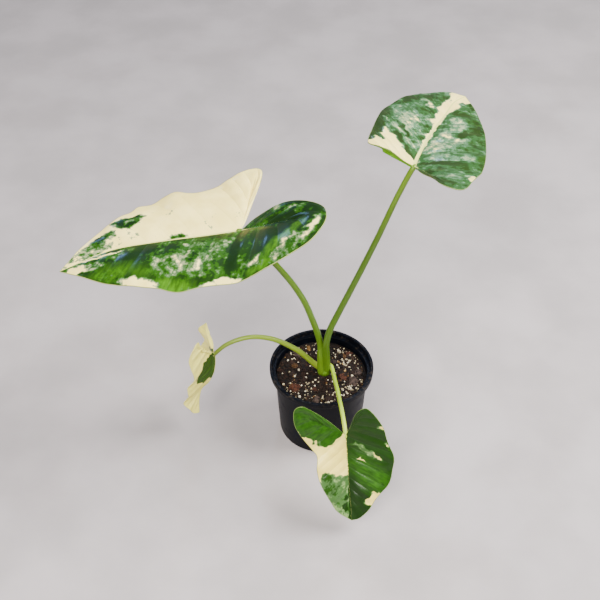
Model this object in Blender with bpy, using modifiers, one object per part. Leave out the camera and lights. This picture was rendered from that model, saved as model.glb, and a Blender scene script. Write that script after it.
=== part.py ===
"""A potted alocasia: four arrow-shaped variegated leaves on long stalks, which
rise from a short crown in bark and perlite mix in a 12 cm nursery pot.

The frame has its origin at the centre of the pot's flat underside, +Z up and
-Y towards the front of the plant.
"""
import math
import random

import bmesh
import bpy
from mathutils import Matrix, Vector, noise

MM = 0.001

# Pot
POT_HEIGHT = 98 * MM
RIM_RADIUS = 60 * MM
RIM_WIDTH = 3.4 * MM
RIM_SKIRT = 7.3 * MM
NECK_RADIUS = 53.9 * MM
BASE_RADIUS = 48.8 * MM
WALL = 1.3 * MM
FLOOR = 2.0 * MM
STEP_HEIGHT = POT_HEIGHT - 6 * MM
FOOT = 1.5 * MM
LIP_EDGE = 0.8 * MM
DRAIN_COUNT = 8
DRAIN_RADIUS = 4 * MM
DRAIN_CIRCLE = 37 * MM
SIDES = 64

# Potting mix
SOIL_TOP = 84 * MM
SOIL_RINGS = 25
CHIP_COUNT = 34
GRAIN_COUNT = 70
SOIL_SEED = 7

# Crown, the short stem that the stalks leave
CROWN_CENTRE = Vector((3, -2.5, 0)) * MM
CROWN_OVAL = 1.12
CROWN_RADIUS = 7.3 * MM
CROWN_BOTTOM = 60 * MM
CROWN_TOP = 101 * MM

# Leaves
BLADE_THICKNESS = 0.8 * MM
BLADE_ROWS = 12
LOBE_ROWS = 6
HALF_COLUMNS = 5
RIDGE_REACH = 0.66
STALK_SIDES = 12
STALK_POINTS = 26

CLEARANCE = 0.3 * MM

# Each blade lies in a frame of its own at the top of its stalk. Points are
# (towards the tip, to the left, up) in mm. A margin runs from the tip back to
# the shoulder, on to the tip of the rear lobe, and in along the notch.
LEAVES = {
    "large": {
        "attachment": (-84, -14, 310),
        "heading": 191,
        "pitch": 0,
        "rib": [(36, -1, -2), (81, -4, -5), (130, -8, -12), (182, 0, -24)],
        "left": {
            "front": [
                (148, 27, -18), (119, 46, -14), (91, 57, -11), (69, 68, -9), (45, 71, -6), (14, 75, 1),
            ],
            "lobe": [(-20, 76, 17), (-51, 72, 32), (-70, 58, 41), (-78, 42, 44)],
            "notch": [(-75, 26, 42), (-56, 7, 34), (-38, -3, 24), (-17, -6, 10)],
        },
        "right": {
            "front": [
                (151, -30, -14), (125, -50, -9), (107, -58, -8), (98, -66, -7), (84, -70, -8),
                (71, -78, -6), (58, -80, -4), (46, -72, -2), (33, -68, 1), (14, -72, 5),
            ],
            "lobe": [(-8, -76, 12), (-23, -77, 18), (-31, -74, 20)],
            "notch": [(-33, -64, 21), (-27, -46, 17), (-15, -25, 8), (-6, -9, 2)],
        },
        "stalk": [
            (2.5, 1.2, 92), (2.1, 1.4, 103), (1.2, 1.3, 115), (-1, 0.6, 131), (-4.5, -1.1, 149),
            (-11, -3.8, 175), (-20, -6.4, 205), (-32, -8.6, 232), (-46.5, -10.4, 257), (-67, -12.6, 288),
        ],
        "stalk_radius": (3.4, 2.9),
        "seat": 1.7,
        "arch": 5,
        "wave": 1.6,
    },
    "upper": {
        "attachment": (89, 31, 356),
        "heading": 66,
        "pitch": 0,
        "rib": [(21, 2, 0), (63, 3, -1), (106, 2, -4), (139, 2, -7), (165, -4, -12)],
        "left": {
            "front": [
                (162, 14, -10), (151, 33, -8), (135, 46, -5), (114, 56, -2), (88, 62, 3), (60, 60, 9),
                (36, 57, 14),
            ],
            "lobe": [(14, 52, 18), (-6, 48, 23), (-16, 43, 27)],
            "notch": [(-20, 33, 28), (-19, 20, 24), (-11, 8, 12)],
        },
        "right": {
            "front": [(137, -26, -12), (106, -42, -10), (74, -54, -6), (38, -63, 0), (10, -67, 7)],
            "lobe": [(-16, -66, 13), (-37, -65, 19), (-50, -61, 25)],
            "notch": [(-53, -50, 26), (-49, -40, 24), (-34, -27, 16), (-15, -11, 6)],
        },
        "stalk": [
            (3.9, -6.2, 92), (3.8, -6.6, 106), (3.5, -6.6, 123), (4.2, -5, 139), (8.5, -1.2, 157),
            (16.5, 2.8, 176.5), (35.6, 10.3, 222), (55.3, 17.9, 271), (72.8, 25.1, 318), (84, 29.4, 345),
        ],
        "stalk_radius": (4.0, 2.8),
        "seat": 1.2,
        "arch": 5,
        "wave": 1.4,
    },
    "side": {
        "attachment": (-122, -13, 130),
        "heading": 186,
        "pitch": 78,
        "rib": [(9, 0, -2), (26, 1, -3), (43, 0, 0), (57, -1, 6), (76, -1, 6), (99, 0, 2)],
        "left": {
            "front": [(93, 7, 9), (77, 14, 20), (58, 20, 24), (41, 25, 24), (14, 30, 23)],
            "lobe": [(-8, 35, 25), (-30, 36, 32), (-41, 31, 30)],
            "notch": [(-42, 25, 25), (-30, 18, 20), (-13, 9, 11)],
        },
        "right": {
            "front": [(88, -16, 6), (78, -24, 6), (60, -35, 4), (34, -38, 6), (15, -38, 9)],
            "lobe": [(-3, -35, 14), (-21, -28, 13)],
            "notch": [(-20, -22, 9), (-14, -14, 3), (-7, -6, 1)],
        },
        "stalk": [
            (-0.5, 2.7, 90), (-4.2, 2.3, 94.2), (-9, 1.6, 100.3), (-24.8, -0.4, 121), (-36.1, -1.8, 132),
            (-47.2, -3.3, 141), (-60, -4.9, 148), (-76, -6.9, 152), (-92, -9, 150.2), (-108, -11, 142.8),
        ],
        "stalk_radius": (3.4, 2.2),
        "seat": 2.4,
        "arch": -2,
        "wave": 2.2,
    },
    "front": {
        "attachment": (24, -109, 106),
        "heading": 275,
        "pitch": 60,
        "rib": [(18, 1, -2), (53, 2, -3), (82, 3, -1), (98, 3, 2)],
        "right": {
            "front": [(85, -13, 4), (68, -22, 6), (50, -30, 8), (34, -33, 8), (20, -32, 6), (12, -37, 6)],
            "lobe": [(-2, -46, 10), (-21, -55, 16), (-38, -55, 20)],
            "notch": [(-43, -47, 22), (-38, -38, 19), (-24, -22, 10), (-10, -9, 3)],
        },
        "left": {
            "front": [(96, 12, 2), (85, 23, 4), (69, 33, 6), (54, 45, 8), (38, 49, 8), (24, 50, 8), (8, 44, 10)],
            "lobe": [(-10, 39, 14), (-26, 30, 18), (-36, 20, 21)],
            "notch": [(-31, 11, 16), (-20, 7, 8), (-9, 4, 3)],
        },
        "stalk": [
            (5.4, 0.6, 93), (8.8, 1.8, 96.8), (11.2, 0.2, 97), (12.6, -6, 97.2), (14, -16, 98.2),
            (15.2, -28, 100.8), (17, -44, 105.2), (18.7, -62, 109.2), (20.7, -80, 111.4), (22.7, -97, 109.8),
        ],
        "stalk_radius": (2.5, 2.3),
        "seat": 2.4,
        "arch": 4,
        "wave": 1.0,
    },
}

# Colour, roughness and metallic value of each finish
FINISHES = {
    "pot": ((0.018, 0.018, 0.022), 0.42, 0.0),
    "soil": ((0.045, 0.026, 0.016), 0.95, 0.0),
    "crown": ((0.22, 0.40, 0.04), 0.45, 0.0),
    "stalk": ((0.26, 0.46, 0.05), 0.40, 0.0),
    "leaf_large": ((0.30, 0.42, 0.20), 0.32, 0.0),
    "leaf_upper": ((0.22, 0.36, 0.16), 0.32, 0.0),
    "leaf_side": ((0.74, 0.76, 0.48), 0.35, 0.0),
    "leaf_front": ((0.08, 0.26, 0.03), 0.30, 0.0),
}


def clear_scene():
    for item in list(bpy.data.objects):
        bpy.data.objects.remove(item, do_unlink=True)


def new_collection(name):
    collection = bpy.data.collections.new(name)
    bpy.context.scene.collection.children.link(collection)
    return collection


def finish(name):
    material = bpy.data.materials.get(name)
    if material:
        return material
    colour, roughness, metallic = FINISHES[name]
    material = bpy.data.materials.new(name)
    material.use_nodes = True
    shader = material.node_tree.nodes["Principled BSDF"]
    shader.inputs["Base Color"].default_value = (*colour, 1.0)
    shader.inputs["Roughness"].default_value = roughness
    shader.inputs["Metallic"].default_value = metallic
    material.diffuse_color = (*colour, 1.0)
    return material


def place(name, mesh, collection, finish_name=None):
    """Link a mesh or a curve under its name, with its finish."""
    item = bpy.data.objects.new(name, mesh)
    collection.objects.link(item)
    if finish_name:
        mesh.materials.append(finish(finish_name))
    return item


def mesh_from(bm, name):
    mesh = bpy.data.meshes.new(name)
    bm.to_mesh(mesh)
    bm.free()
    return mesh


def as_mesh(item):
    """Swap an object for one with its evaluated mesh, which a Boolean can cut."""
    graph = bpy.context.evaluated_depsgraph_get()
    graph.update()
    mesh = bpy.data.meshes.new_from_object(item.evaluated_get(graph))
    bm = bmesh.new()
    bm.from_mesh(mesh)
    bmesh.ops.remove_doubles(bm, verts=bm.verts, dist=0.01 * MM)
    bmesh.ops.recalc_face_normals(bm, faces=bm.faces)
    bm.to_mesh(mesh)
    bm.free()
    solid = bpy.data.objects.new(item.name, mesh)
    solid.matrix_world = item.matrix_world
    name = item.name
    for collection in item.users_collection:
        collection.objects.link(solid)
    bpy.data.objects.remove(item, do_unlink=True)
    solid.name = name
    return solid


def turned(name, profile, sides, collection, finish_name=None):
    """A solid of revolution about +Z, from (radius, height) points."""
    bm = bmesh.new()
    verts = [bm.verts.new((radius, 0, height)) for radius, height in profile]
    for first, second in zip(verts, verts[1:]):
        bm.edges.new((first, second))
    item = place(name, mesh_from(bm, name), collection, finish_name)
    screw = item.modifiers.new("Turn", "SCREW")
    screw.steps = sides
    screw.render_steps = sides
    screw.use_merge_vertices = True
    screw.merge_threshold = 0.01 * MM
    screw.use_smooth_shade = False
    return item


def cut(item, cutter):
    boolean = item.modifiers.new("Cut " + cutter.name, "BOOLEAN")
    boolean.operation = "DIFFERENCE"
    boolean.solver = "EXACT"
    boolean.object = cutter


def shade(item, angle=40):
    item.data.shade_smooth()
    item.data.set_sharp_from_angle(angle=math.radians(angle))


def pot_profile():
    """The pot's section, from its floor's centre up the inside and down the outside."""
    skirt = POT_HEIGHT - RIM_SKIRT
    lip = RIM_RADIUS - RIM_WIDTH
    inside = BASE_RADIUS - WALL
    return [
        (0, FLOOR),
        (inside - FOOT, FLOOR),
        (inside, FLOOR + FOOT),
        (NECK_RADIUS - WALL, STEP_HEIGHT),
        (lip - LIP_EDGE, STEP_HEIGHT),
        (lip, STEP_HEIGHT + LIP_EDGE),
        (lip, POT_HEIGHT - LIP_EDGE),
        (lip + LIP_EDGE, POT_HEIGHT),
        (RIM_RADIUS - LIP_EDGE, POT_HEIGHT),
        (RIM_RADIUS, POT_HEIGHT - LIP_EDGE),
        (RIM_RADIUS - LIP_EDGE / 2, skirt),
        (NECK_RADIUS, skirt),
        (BASE_RADIUS, FOOT),
        (BASE_RADIUS - FOOT, 0),
        (0, 0),
    ]


def make_pot(parts, cutters):
    pot = as_mesh(turned("pot", pot_profile(), SIDES, parts, "pot"))
    for index in range(DRAIN_COUNT):
        bm = bmesh.new()
        bmesh.ops.create_cone(
            bm, cap_ends=True, segments=16, radius1=DRAIN_RADIUS, radius2=DRAIN_RADIUS, depth=4 * FLOOR
        )
        hole = place(f"drain_cutter_{index + 1}", mesh_from(bm, "drain"), cutters)
        angle = 2 * math.pi * (index + 0.5) / DRAIN_COUNT
        hole.location = (DRAIN_CIRCLE * math.cos(angle), DRAIN_CIRCLE * math.sin(angle), FLOOR / 2)
        cut(pot, hole)
    shade(pot)


def pot_inner_radius(height):
    """The inside radius of the pot's wall, between its foot and its step."""
    start = FLOOR + FOOT
    share = (height - start) / (STEP_HEIGHT - start)
    return BASE_RADIUS + (NECK_RADIUS - BASE_RADIUS) * share - WALL


def scatter(count, sizes, rng):
    """Seeded (x, y, half length, half width, turn) places over the mix."""
    reach = pot_inner_radius(SOIL_TOP) - 4 * MM
    spots = []
    while len(spots) < count:
        distance = reach * math.sqrt(rng.random())
        angle = rng.uniform(0, 2 * math.pi)
        spot = Vector((distance * math.cos(angle), distance * math.sin(angle)))
        if (spot - CROWN_CENTRE.xy).length > CROWN_RADIUS + 2 * MM:
            length = rng.uniform(*sizes) * MM
            spots.append((spot.x, spot.y, length, length * rng.uniform(0.5, 0.9), rng.uniform(0, math.pi)))
    return spots


def lump(x, y, spot):
    """How far a chip or grain at a spot stands over the mix here, from 0 to 1."""
    centre_x, centre_y, length, width, turn = spot
    along = (x - centre_x) * math.cos(turn) + (y - centre_y) * math.sin(turn)
    across = (y - centre_y) * math.cos(turn) - (x - centre_x) * math.sin(turn)
    return max(0.0, 1 - (along / length) ** 4 - (across / width) ** 4)


def soil_height(x, y, chips, grains):
    bumps = noise.noise(Vector((x, y, 0)) * 160) * 1.3 * MM
    bumps += noise.noise(Vector((x, y, 3 * MM)) * 420) * 0.6 * MM
    chip = max(lump(x, y, spot) for spot in chips)
    grain = max(lump(x, y, spot) for spot in grains)
    return SOIL_TOP + bumps + 1.8 * MM * chip + 1.3 * MM * grain


def make_soil(parts, cutters):
    """The mix fills the pot, with its bark chips and perlite raised on top."""
    top_radius = pot_inner_radius(SOIL_TOP) - CLEARANCE
    bottom = FLOOR + CLEARANCE
    corner = 2 * FOOT
    profile = [(top_radius * ring / SOIL_RINGS, SOIL_TOP) for ring in range(SOIL_RINGS + 1)]
    profile += [
        (pot_inner_radius(bottom + corner) - CLEARANCE, bottom + corner),
        (pot_inner_radius(bottom) - CLEARANCE - corner, bottom),
        (0, bottom),
    ]
    soil = as_mesh(turned("soil", profile, SIDES, parts, "soil"))
    rng = random.Random(SOIL_SEED)
    chips = scatter(CHIP_COUNT, (3.0, 6.5), rng)
    grains = scatter(GRAIN_COUNT, (1.6, 2.6), rng)
    for vert in soil.data.vertices:
        x, y, z = vert.co
        if z > SOIL_TOP - 1 * MM and math.hypot(x, y) < top_radius - 0.5 * MM:
            vert.co.z = soil_height(x, y, chips, grains)
    bm = bmesh.new()
    depth = 50 * MM
    bmesh.ops.create_cone(
        bm,
        cap_ends=True,
        segments=28,
        radius1=CROWN_RADIUS + CLEARANCE,
        radius2=CROWN_RADIUS + CLEARANCE,
        depth=depth,
        matrix=Matrix.Translation((0, 0, CROWN_BOTTOM - CLEARANCE + depth / 2)),
    )
    hole = place("crown_hole_cutter", mesh_from(bm, "crown_hole"), cutters)
    hole.location = CROWN_CENTRE
    hole.scale.y = CROWN_OVAL
    cut(soil, hole)
    shade(soil)


def crown_profile(gap):
    """Crown section, grown outward by a gap; it runs top to bottom."""
    return [
        (0, CROWN_TOP + gap),
        (4.6 * MM + gap, CROWN_TOP + gap),
        (6.4 * MM + gap, CROWN_TOP - 1.4 * MM + gap),
        (6.9 * MM + gap, CROWN_TOP - 5 * MM),
        (7.1 * MM + gap, SOIL_TOP + 4 * MM),
        (CROWN_RADIUS + gap, SOIL_TOP - 4 * MM),
        (CROWN_RADIUS + gap, CROWN_BOTTOM + 6 * MM),
        (4.5 * MM + gap, CROWN_BOTTOM - gap),
        (0, CROWN_BOTTOM - gap),
    ]


def make_crown(parts, cutters):
    """The crown, and the same shape one clearance larger that trims the stalks."""
    crown = turned("crown", crown_profile(0), 28, parts, "crown")
    crown.location = CROWN_CENTRE
    crown.scale.y = CROWN_OVAL
    shade(crown)
    trim = turned("crown_trim_cutter", crown_profile(CLEARANCE), 28, cutters)
    trim.location = CROWN_CENTRE
    trim.scale.y = CROWN_OVAL
    return as_mesh(trim)


def smooth_path(points, steps=10):
    """A Catmull-Rom curve through the points, as a close row of points."""
    points = [Vector(point) for point in points]
    ends = [2 * points[0] - points[1], *points, 2 * points[-1] - points[-2]]
    path = []
    for before, first, second, after in zip(ends, ends[1:], ends[2:], ends[3:]):
        for step in range(steps):
            t = step / steps
            path.append(
                first
                + (second - before) * (t / 2)
                + (before - first * 2.5 + second * 2 - after / 2) * t**2
                + ((first - second) * 1.5 + (after - before) / 2) * t**3
            )
    path.append(points[-1])
    return path


def path_point(path, share):
    """The point at a share of a path's length."""
    spans = [(second - first).length for first, second in zip(path, path[1:])]
    left = max(0.0, min(1.0, share)) * sum(spans)
    for first, second, span in zip(path, path[1:], spans):
        if left <= span:
            return first.lerp(second, left / span)
        left -= span
    return path[-1].copy()


def leaf_frame(leaf):
    """The frame at the top of a stalk: X to the leaf's tip, Y left, Z up."""
    heading = Matrix.Rotation(math.radians(leaf["heading"]), 4, "Z")
    pitch = Matrix.Rotation(math.radians(leaf["pitch"]), 4, "Y")
    return Matrix.Translation(Vector(leaf["attachment"]) * MM) @ heading @ pitch


def blade_paths(leaf, side):
    """The rib, and the three stretches of one half's margin."""
    half = leaf[side]
    tip = leaf["rib"][-1]
    outline = [tip, *half["front"], *half["lobe"], *half["notch"], (0, 0, 0)]
    steps = 10
    path = smooth_path(outline, steps)
    shoulder = steps * len(half["front"])
    lobe_tip = shoulder + steps * len(half["lobe"])
    rib = smooth_path([(0, 0, 0), *leaf["rib"]], steps)[::-1]
    return rib, path[: shoulder + 1], path[shoulder : lobe_tip + 1], path[lobe_tip:]


def blade_point(leaf, paths, row, across):
    """A point of one half, by row from tip to notch and share from rib to margin."""
    rib, front, lobe, notch = paths
    ridge_end = lobe[-1] * RIDGE_REACH
    if row <= BLADE_ROWS:
        share = row / BLADE_ROWS
        root, edge = path_point(rib, share), path_point(front, share)
        place_along = share
    elif row <= BLADE_ROWS + LOBE_ROWS:
        share = (row - BLADE_ROWS) / LOBE_ROWS
        root, edge = ridge_end * share, path_point(lobe, share)
        place_along = 1 + 0.4 * share
    else:
        share = (row - BLADE_ROWS - LOBE_ROWS) / LOBE_ROWS
        root, edge = ridge_end * (1 - share), path_point(notch, share)
        place_along = 1.4 + 0.4 * share
    point = root.lerp(edge, across)
    taper = min(1.0, 3 * place_along) * min(1.0, 4 * (1.8 - place_along))
    arch = leaf["arch"] * 4 * across * (1 - across) * (edge - root).length / 70
    wave = leaf["wave"] * across**2 * math.sin(place_along * 17)
    point.z += (arch + wave) * taper
    return point * MM


def make_blade(name, leaf, parts):
    """A thin waved blade, split into triangles alike on both of its faces."""
    rows = BLADE_ROWS + 2 * LOBE_ROWS
    bm = bmesh.new()
    for side, outward in (("left", 1), ("right", -1)):
        paths = blade_paths(leaf, side)
        grid = bmesh.ops.create_grid(bm, x_segments=HALF_COLUMNS, y_segments=rows, size=1)
        for vert in grid["verts"]:
            row = round((1 + vert.co.y) / 2 * rows)
            across = round((1 + outward * vert.co.x) / 2 * HALF_COLUMNS) / HALF_COLUMNS
            vert.co = blade_point(leaf, paths, row, across)
    bmesh.ops.remove_doubles(bm, verts=bm.verts, dist=0.05 * MM)
    bmesh.ops.triangulate(bm, faces=bm.faces)
    blade = place(name, mesh_from(bm, name), parts, name)
    blade.matrix_world = leaf_frame(leaf)
    skin = blade.modifiers.new("Thickness", "SOLIDIFY")
    skin.thickness = BLADE_THICKNESS
    skin.offset = 0
    blade.data.shade_smooth()


def make_stalk(name, leaf, parts, crown_trim):
    """A tapering round stalk from the crown to just under its blade."""
    seat = leaf_frame(leaf) @ Vector((0, 0, -leaf["seat"] * MM))
    route = smooth_path([*(Vector(point) * MM for point in leaf["stalk"]), seat])
    base_radius, top_radius = leaf["stalk_radius"]
    curve = bpy.data.curves.new(name, "CURVE")
    curve.dimensions = "3D"
    curve.bevel_depth = MM
    curve.bevel_resolution = (STALK_SIDES - 4) // 2
    curve.use_fill_caps = True
    spline = curve.splines.new("POLY")
    spline.points.add(STALK_POINTS - 1)
    for index, point in enumerate(spline.points):
        share = index / (STALK_POINTS - 1)
        point.co = (*path_point(route, share), 1)
        point.radius = base_radius + (top_radius - base_radius) * share
    stalk = as_mesh(place(name, curve, parts, "stalk"))
    cut(stalk, crown_trim)
    shade(stalk)


def main():
    clear_scene()
    parts = new_collection("potted_alocasia")
    cutters = new_collection("cutters")
    make_pot(parts, cutters)
    make_soil(parts, cutters)
    crown_trim = make_crown(parts, cutters)
    for kind, leaf in LEAVES.items():
        make_blade(f"leaf_{kind}", leaf, parts)
        make_stalk(f"stalk_{kind}", leaf, parts, crown_trim)
    for cutter in cutters.objects:
        cutter.hide_render = True
        cutter.display_type = "WIRE"


main()
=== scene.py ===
"""A variegated alocasia in a nursery pot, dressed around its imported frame."""
import math
import random

import bmesh
import bpy
from mathutils import Matrix, Vector, noise


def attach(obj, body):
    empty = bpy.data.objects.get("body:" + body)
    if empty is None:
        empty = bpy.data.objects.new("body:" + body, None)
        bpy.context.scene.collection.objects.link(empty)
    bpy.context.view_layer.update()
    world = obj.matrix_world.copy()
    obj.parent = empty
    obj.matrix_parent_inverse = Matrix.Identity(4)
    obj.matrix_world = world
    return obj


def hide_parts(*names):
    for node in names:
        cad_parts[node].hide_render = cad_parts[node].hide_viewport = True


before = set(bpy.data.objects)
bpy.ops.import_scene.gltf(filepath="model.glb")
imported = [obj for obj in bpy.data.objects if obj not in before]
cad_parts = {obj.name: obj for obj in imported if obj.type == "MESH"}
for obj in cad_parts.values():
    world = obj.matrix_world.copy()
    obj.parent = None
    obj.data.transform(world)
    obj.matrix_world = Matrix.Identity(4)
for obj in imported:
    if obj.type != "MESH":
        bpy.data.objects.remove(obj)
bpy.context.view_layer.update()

# The studio. A seamless pale floor under two large soft lights, from the right and
# from the front, and a small cool one behind. A small bluish light is seen only in
# reflections. The camera looks down at the plant.
# Places and the floor are in metres, the tilt is in degrees, lens and sensor are in mm.
MM = 0.001
FLOOR_HALF_WIDTH = 4.0
CAMERA_PLACE = (-0.0248, -0.7883, 0.9436)
CAMERA_DOWN = 43.26
CAMERA_LENS = 60
CAMERA_SENSOR = 36
LIGHTS_AIM = Vector((0, 0, 0.15))
WORLD_STRENGTH = 0.45
# A Map Range node set to a smooth step from 0 to 1, and a Mix node set to blend colours.
SMOOTH = {"interpolation_type": "SMOOTHSTEP"}
BLEND = {"out": 2, "data_type": "RGBA"}


def linear(hex_colour):
    """The linear colour of an sRGB hex value."""
    channels = [int(hex_colour[start : start + 2], 16) / 255 for start in (1, 3, 5)]
    return tuple(c / 12.92 if c <= 0.04045 else ((c + 0.055) / 1.055) ** 2.4 for c in channels) + (1.0,)


def add(tree, kind, inputs=None, out=0, **settings):
    """Add a node with its settings, set or link its inputs, and return one of its outputs."""
    made = tree.nodes.new("ShaderNode" + kind)
    for key, value in settings.items():
        setattr(made, key, value)
    for key, value in (inputs or {}).items():
        if isinstance(value, bpy.types.NodeSocket):
            tree.links.new(value, made.inputs[key])
        else:
            made.inputs[key].default_value = value
    return made.outputs[out]


def new_material(name, **constants):
    """A material with its tree and its shader, whose plain values are set on it."""
    material = bpy.data.materials.new(name)
    material.use_nodes = True
    shader = material.node_tree.nodes["Principled BSDF"]
    for key, value in constants.items():
        shader.inputs[key.replace("_", " ")].default_value = value
    return material, material.node_tree, shader


def place_mesh(name, bm, material=None):
    """Turn a bmesh into a linked object at the origin."""
    mesh = bpy.data.meshes.new(name)
    bm.to_mesh(mesh)
    bm.free()
    item = bpy.data.objects.new(name, mesh)
    bpy.context.scene.collection.objects.link(item)
    if material:
        mesh.materials.append(material)
    return item


def add_softbox(name, place, size, watts, colour, gloss_only=False):
    """A round soft light, its place and size in metres, turned towards the plant."""
    data = bpy.data.lights.new(name, "AREA")
    data.shape = "DISK"
    data.size = size
    data.energy = watts
    data.color = linear(colour)[:3]
    lamp = bpy.data.objects.new(name, data)
    lamp.location = place
    lamp.visible_diffuse = not gloss_only
    lamp.rotation_euler = (LIGHTS_AIM - Vector(place)).to_track_quat("-Z", "Y").to_euler()
    bpy.context.scene.collection.objects.link(lamp)


# Backdrop paper, uncoated and unrolled: matt, very slightly mottled where it has been
# handled, and darker towards the back with painted shade.
backdrop, tree, shader = new_material("matt_backdrop_paper", Roughness=0.9, Specular_IOR_Level=0.15)
where = add(tree, "TexCoord", out="Object")
cloudy = add(tree, "TexNoise", {"Vector": where, "Scale": 1 / (120 * MM), "Detail": 6.0})
mottled = add(tree, "MapRange", {"Value": cloudy, "From Min": 0.3, "From Max": 0.7}, **SMOOTH)
paper = add(tree, "Mix", {0: mottled, 6: linear("#a09a9b"), 7: linear("#afa8aa")}, **BLEND)
# Painted shade: the paper is darkened towards the back, where less light reaches it.
darker = add(tree, "HueSaturation", {"Value": 0.7, "Color": paper})
depth = add(tree, "SeparateXYZ", {0: where}, "Y")
far = add(tree, "MapRange", {"Value": depth, "From Min": -0.5, "From Max": 1.9}, **SMOOTH)
paper = add(tree, "Mix", {0: far, 6: paper, 7: darker}, **BLEND)
tree.links.new(paper, shader.inputs["Base Color"])

bm = bmesh.new()
bmesh.ops.create_grid(bm, x_segments=2, y_segments=2, size=FLOOR_HALF_WIDTH)
floor = place_mesh("floor", bm, backdrop)

add_softbox("softbox_right", (1.4, 0.1, 1.8), size=1.4, watts=130, colour="#fffdf8")
add_softbox("softbox_front", (-0.5, -1.5, 1.7), size=1.4, watts=108, colour="#fffaf4")
add_softbox("window_behind", (0.1, 1.7, 1.8), size=0.35, watts=14, colour="#cadcff")
add_softbox("sky_glint", (-1.15, 1.5, 0.98), size=0.3, watts=4.5, colour="#8fb8ff", gloss_only=True)

world = bpy.data.worlds.new("studio")
world.use_nodes = True
background = world.node_tree.nodes["Background"]
background.inputs["Color"].default_value = linear("#dcdde2")
background.inputs["Strength"].default_value = WORLD_STRENGTH
bpy.context.scene.world = world

camera_data = bpy.data.cameras.new("camera")
camera_data.lens = CAMERA_LENS
camera_data.sensor_width = CAMERA_SENSOR
camera = bpy.data.objects.new("camera", camera_data)
camera.location = CAMERA_PLACE
camera.rotation_euler = (math.radians(90 - CAMERA_DOWN), 0, 0)
bpy.context.scene.collection.objects.link(camera)
bpy.context.scene.camera = camera


# The pot. Black polypropylene, injection moulded in one shot: a tapering wall
# under a rolled rim with an inner step, and drain holes in its floor.
# Its section is given as radius, height and the rounding of that corner, in mm.
POT_SECTION = [
    (0, 2, 0), (47.5, 2, 1.4), (52.75, 92, 0.3), (56.6, 92, 0.6), (56.6, 98, 0.9), (60, 98, 1.1),
    (59.6, 90.7, 0.7), (53.9, 90.7, 0.5), (48.8, 0, 1.6), (0, 0, 0),
]
CORNER_STEPS = 5
POT_SIDES = 160
POT_SHARP = math.radians(38)
DRAIN_COUNT = 8
DRAIN_RADIUS = 4 * MM
DRAIN_CIRCLE = 37 * MM
DRILL_CENTRE = 1 * MM
DRILL_LENGTH = 8 * MM
DRILL_SIDES = 32
WELD = 0.01 * MM


def rounded(section):
    """The points of a section in mm whose corners are rounded by their own radii."""
    points = [Vector(section[0][:2])]
    for before, corner, after in zip(section, section[1:], section[2:]):
        here = Vector(corner[:2])
        to_before = (Vector(before[:2]) - here).normalized() * corner[2]
        to_after = (Vector(after[:2]) - here).normalized() * corner[2]
        for step in range(CORNER_STEPS + 1):
            t = step / CORNER_STEPS
            points.append(here + to_before * (1 - t) ** 2 + to_after * t**2)
    points.append(Vector(section[-1][:2]))
    return points


def spun(points, sides):
    """A closed turned shape about +Z from the (radius, height) points of its section, in mm."""
    bm = bmesh.new()
    row = [bm.verts.new((radius * MM, 0, height * MM)) for radius, height in points]
    edges = [bm.edges.new(pair) for pair in zip(row, row[1:])]
    bmesh.ops.spin(
        bm,
        geom=row + edges,
        cent=(0, 0, 0),
        axis=(0, 0, 1),
        steps=sides,
        angle=2 * math.pi,
        use_merge=True,
    )
    bmesh.ops.remove_doubles(bm, verts=bm.verts, dist=WELD)
    bmesh.ops.recalc_face_normals(bm, faces=bm.faces)
    return bm


def settle(item):
    """Put an object's modified mesh in place of its own, with no modifiers left."""
    graph = bpy.context.evaluated_depsgraph_get()
    graph.update()
    mesh = bpy.data.meshes.new_from_object(item.evaluated_get(graph))
    item.modifiers.clear()
    item.data = mesh


# Black polypropylene: satin off the mould, with a faint grain, paler scuffs, and
# splashes of the mix dried on near the rim.
polypropylene, tree, shader = new_material("moulded_black_polypropylene", IOR=1.49, Specular_IOR_Level=0.08)
where = add(tree, "TexCoord", out="Object")
cloudy = add(tree, "TexNoise", {"Vector": where, "Scale": 1 / (12 * MM), "Detail": 6.0})
scuff = add(tree, "MapRange", {"Value": cloudy, "From Min": 0.5, "From Max": 0.75}, **SMOOTH)
plastic = add(tree, "Mix", {0: scuff, 6: linear("#04060c"), 7: linear("#0a0e18")}, **BLEND)
height = add(tree, "SeparateXYZ", {0: where}, "Z")
near_rim = add(tree, "MapRange", {"Value": height, "From Min": 80 * MM, "From Max": 94 * MM}, **SMOOTH)
drops = add(tree, "TexNoise", {"Vector": where, "Scale": 1 / (4 * MM), "Detail": 3.0})
splash = add(tree, "Math", {0: near_rim, 1: drops}, operation="MULTIPLY")
dried = add(tree, "MapRange", {"Value": splash, "From Min": 0.5, "From Max": 0.75}, **SMOOTH)
splashed = add(tree, "Mix", {0: dried, 6: plastic, 7: linear("#2c2620")}, **BLEND)
tree.links.new(splashed, shader.inputs["Base Color"])
rough = add(tree, "MapRange", {"Value": scuff, "To Min": 0.45, "To Max": 0.58})
tree.links.new(rough, shader.inputs["Roughness"])
grain = add(tree, "TexNoise", {"Vector": where, "Scale": 1 / (0.6 * MM), "Detail": 2.0})
bump = add(tree, "Bump", {"Height": grain, "Strength": 0.12, "Distance": 0.2 * MM})
tree.links.new(bump, shader.inputs["Normal"])

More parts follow.
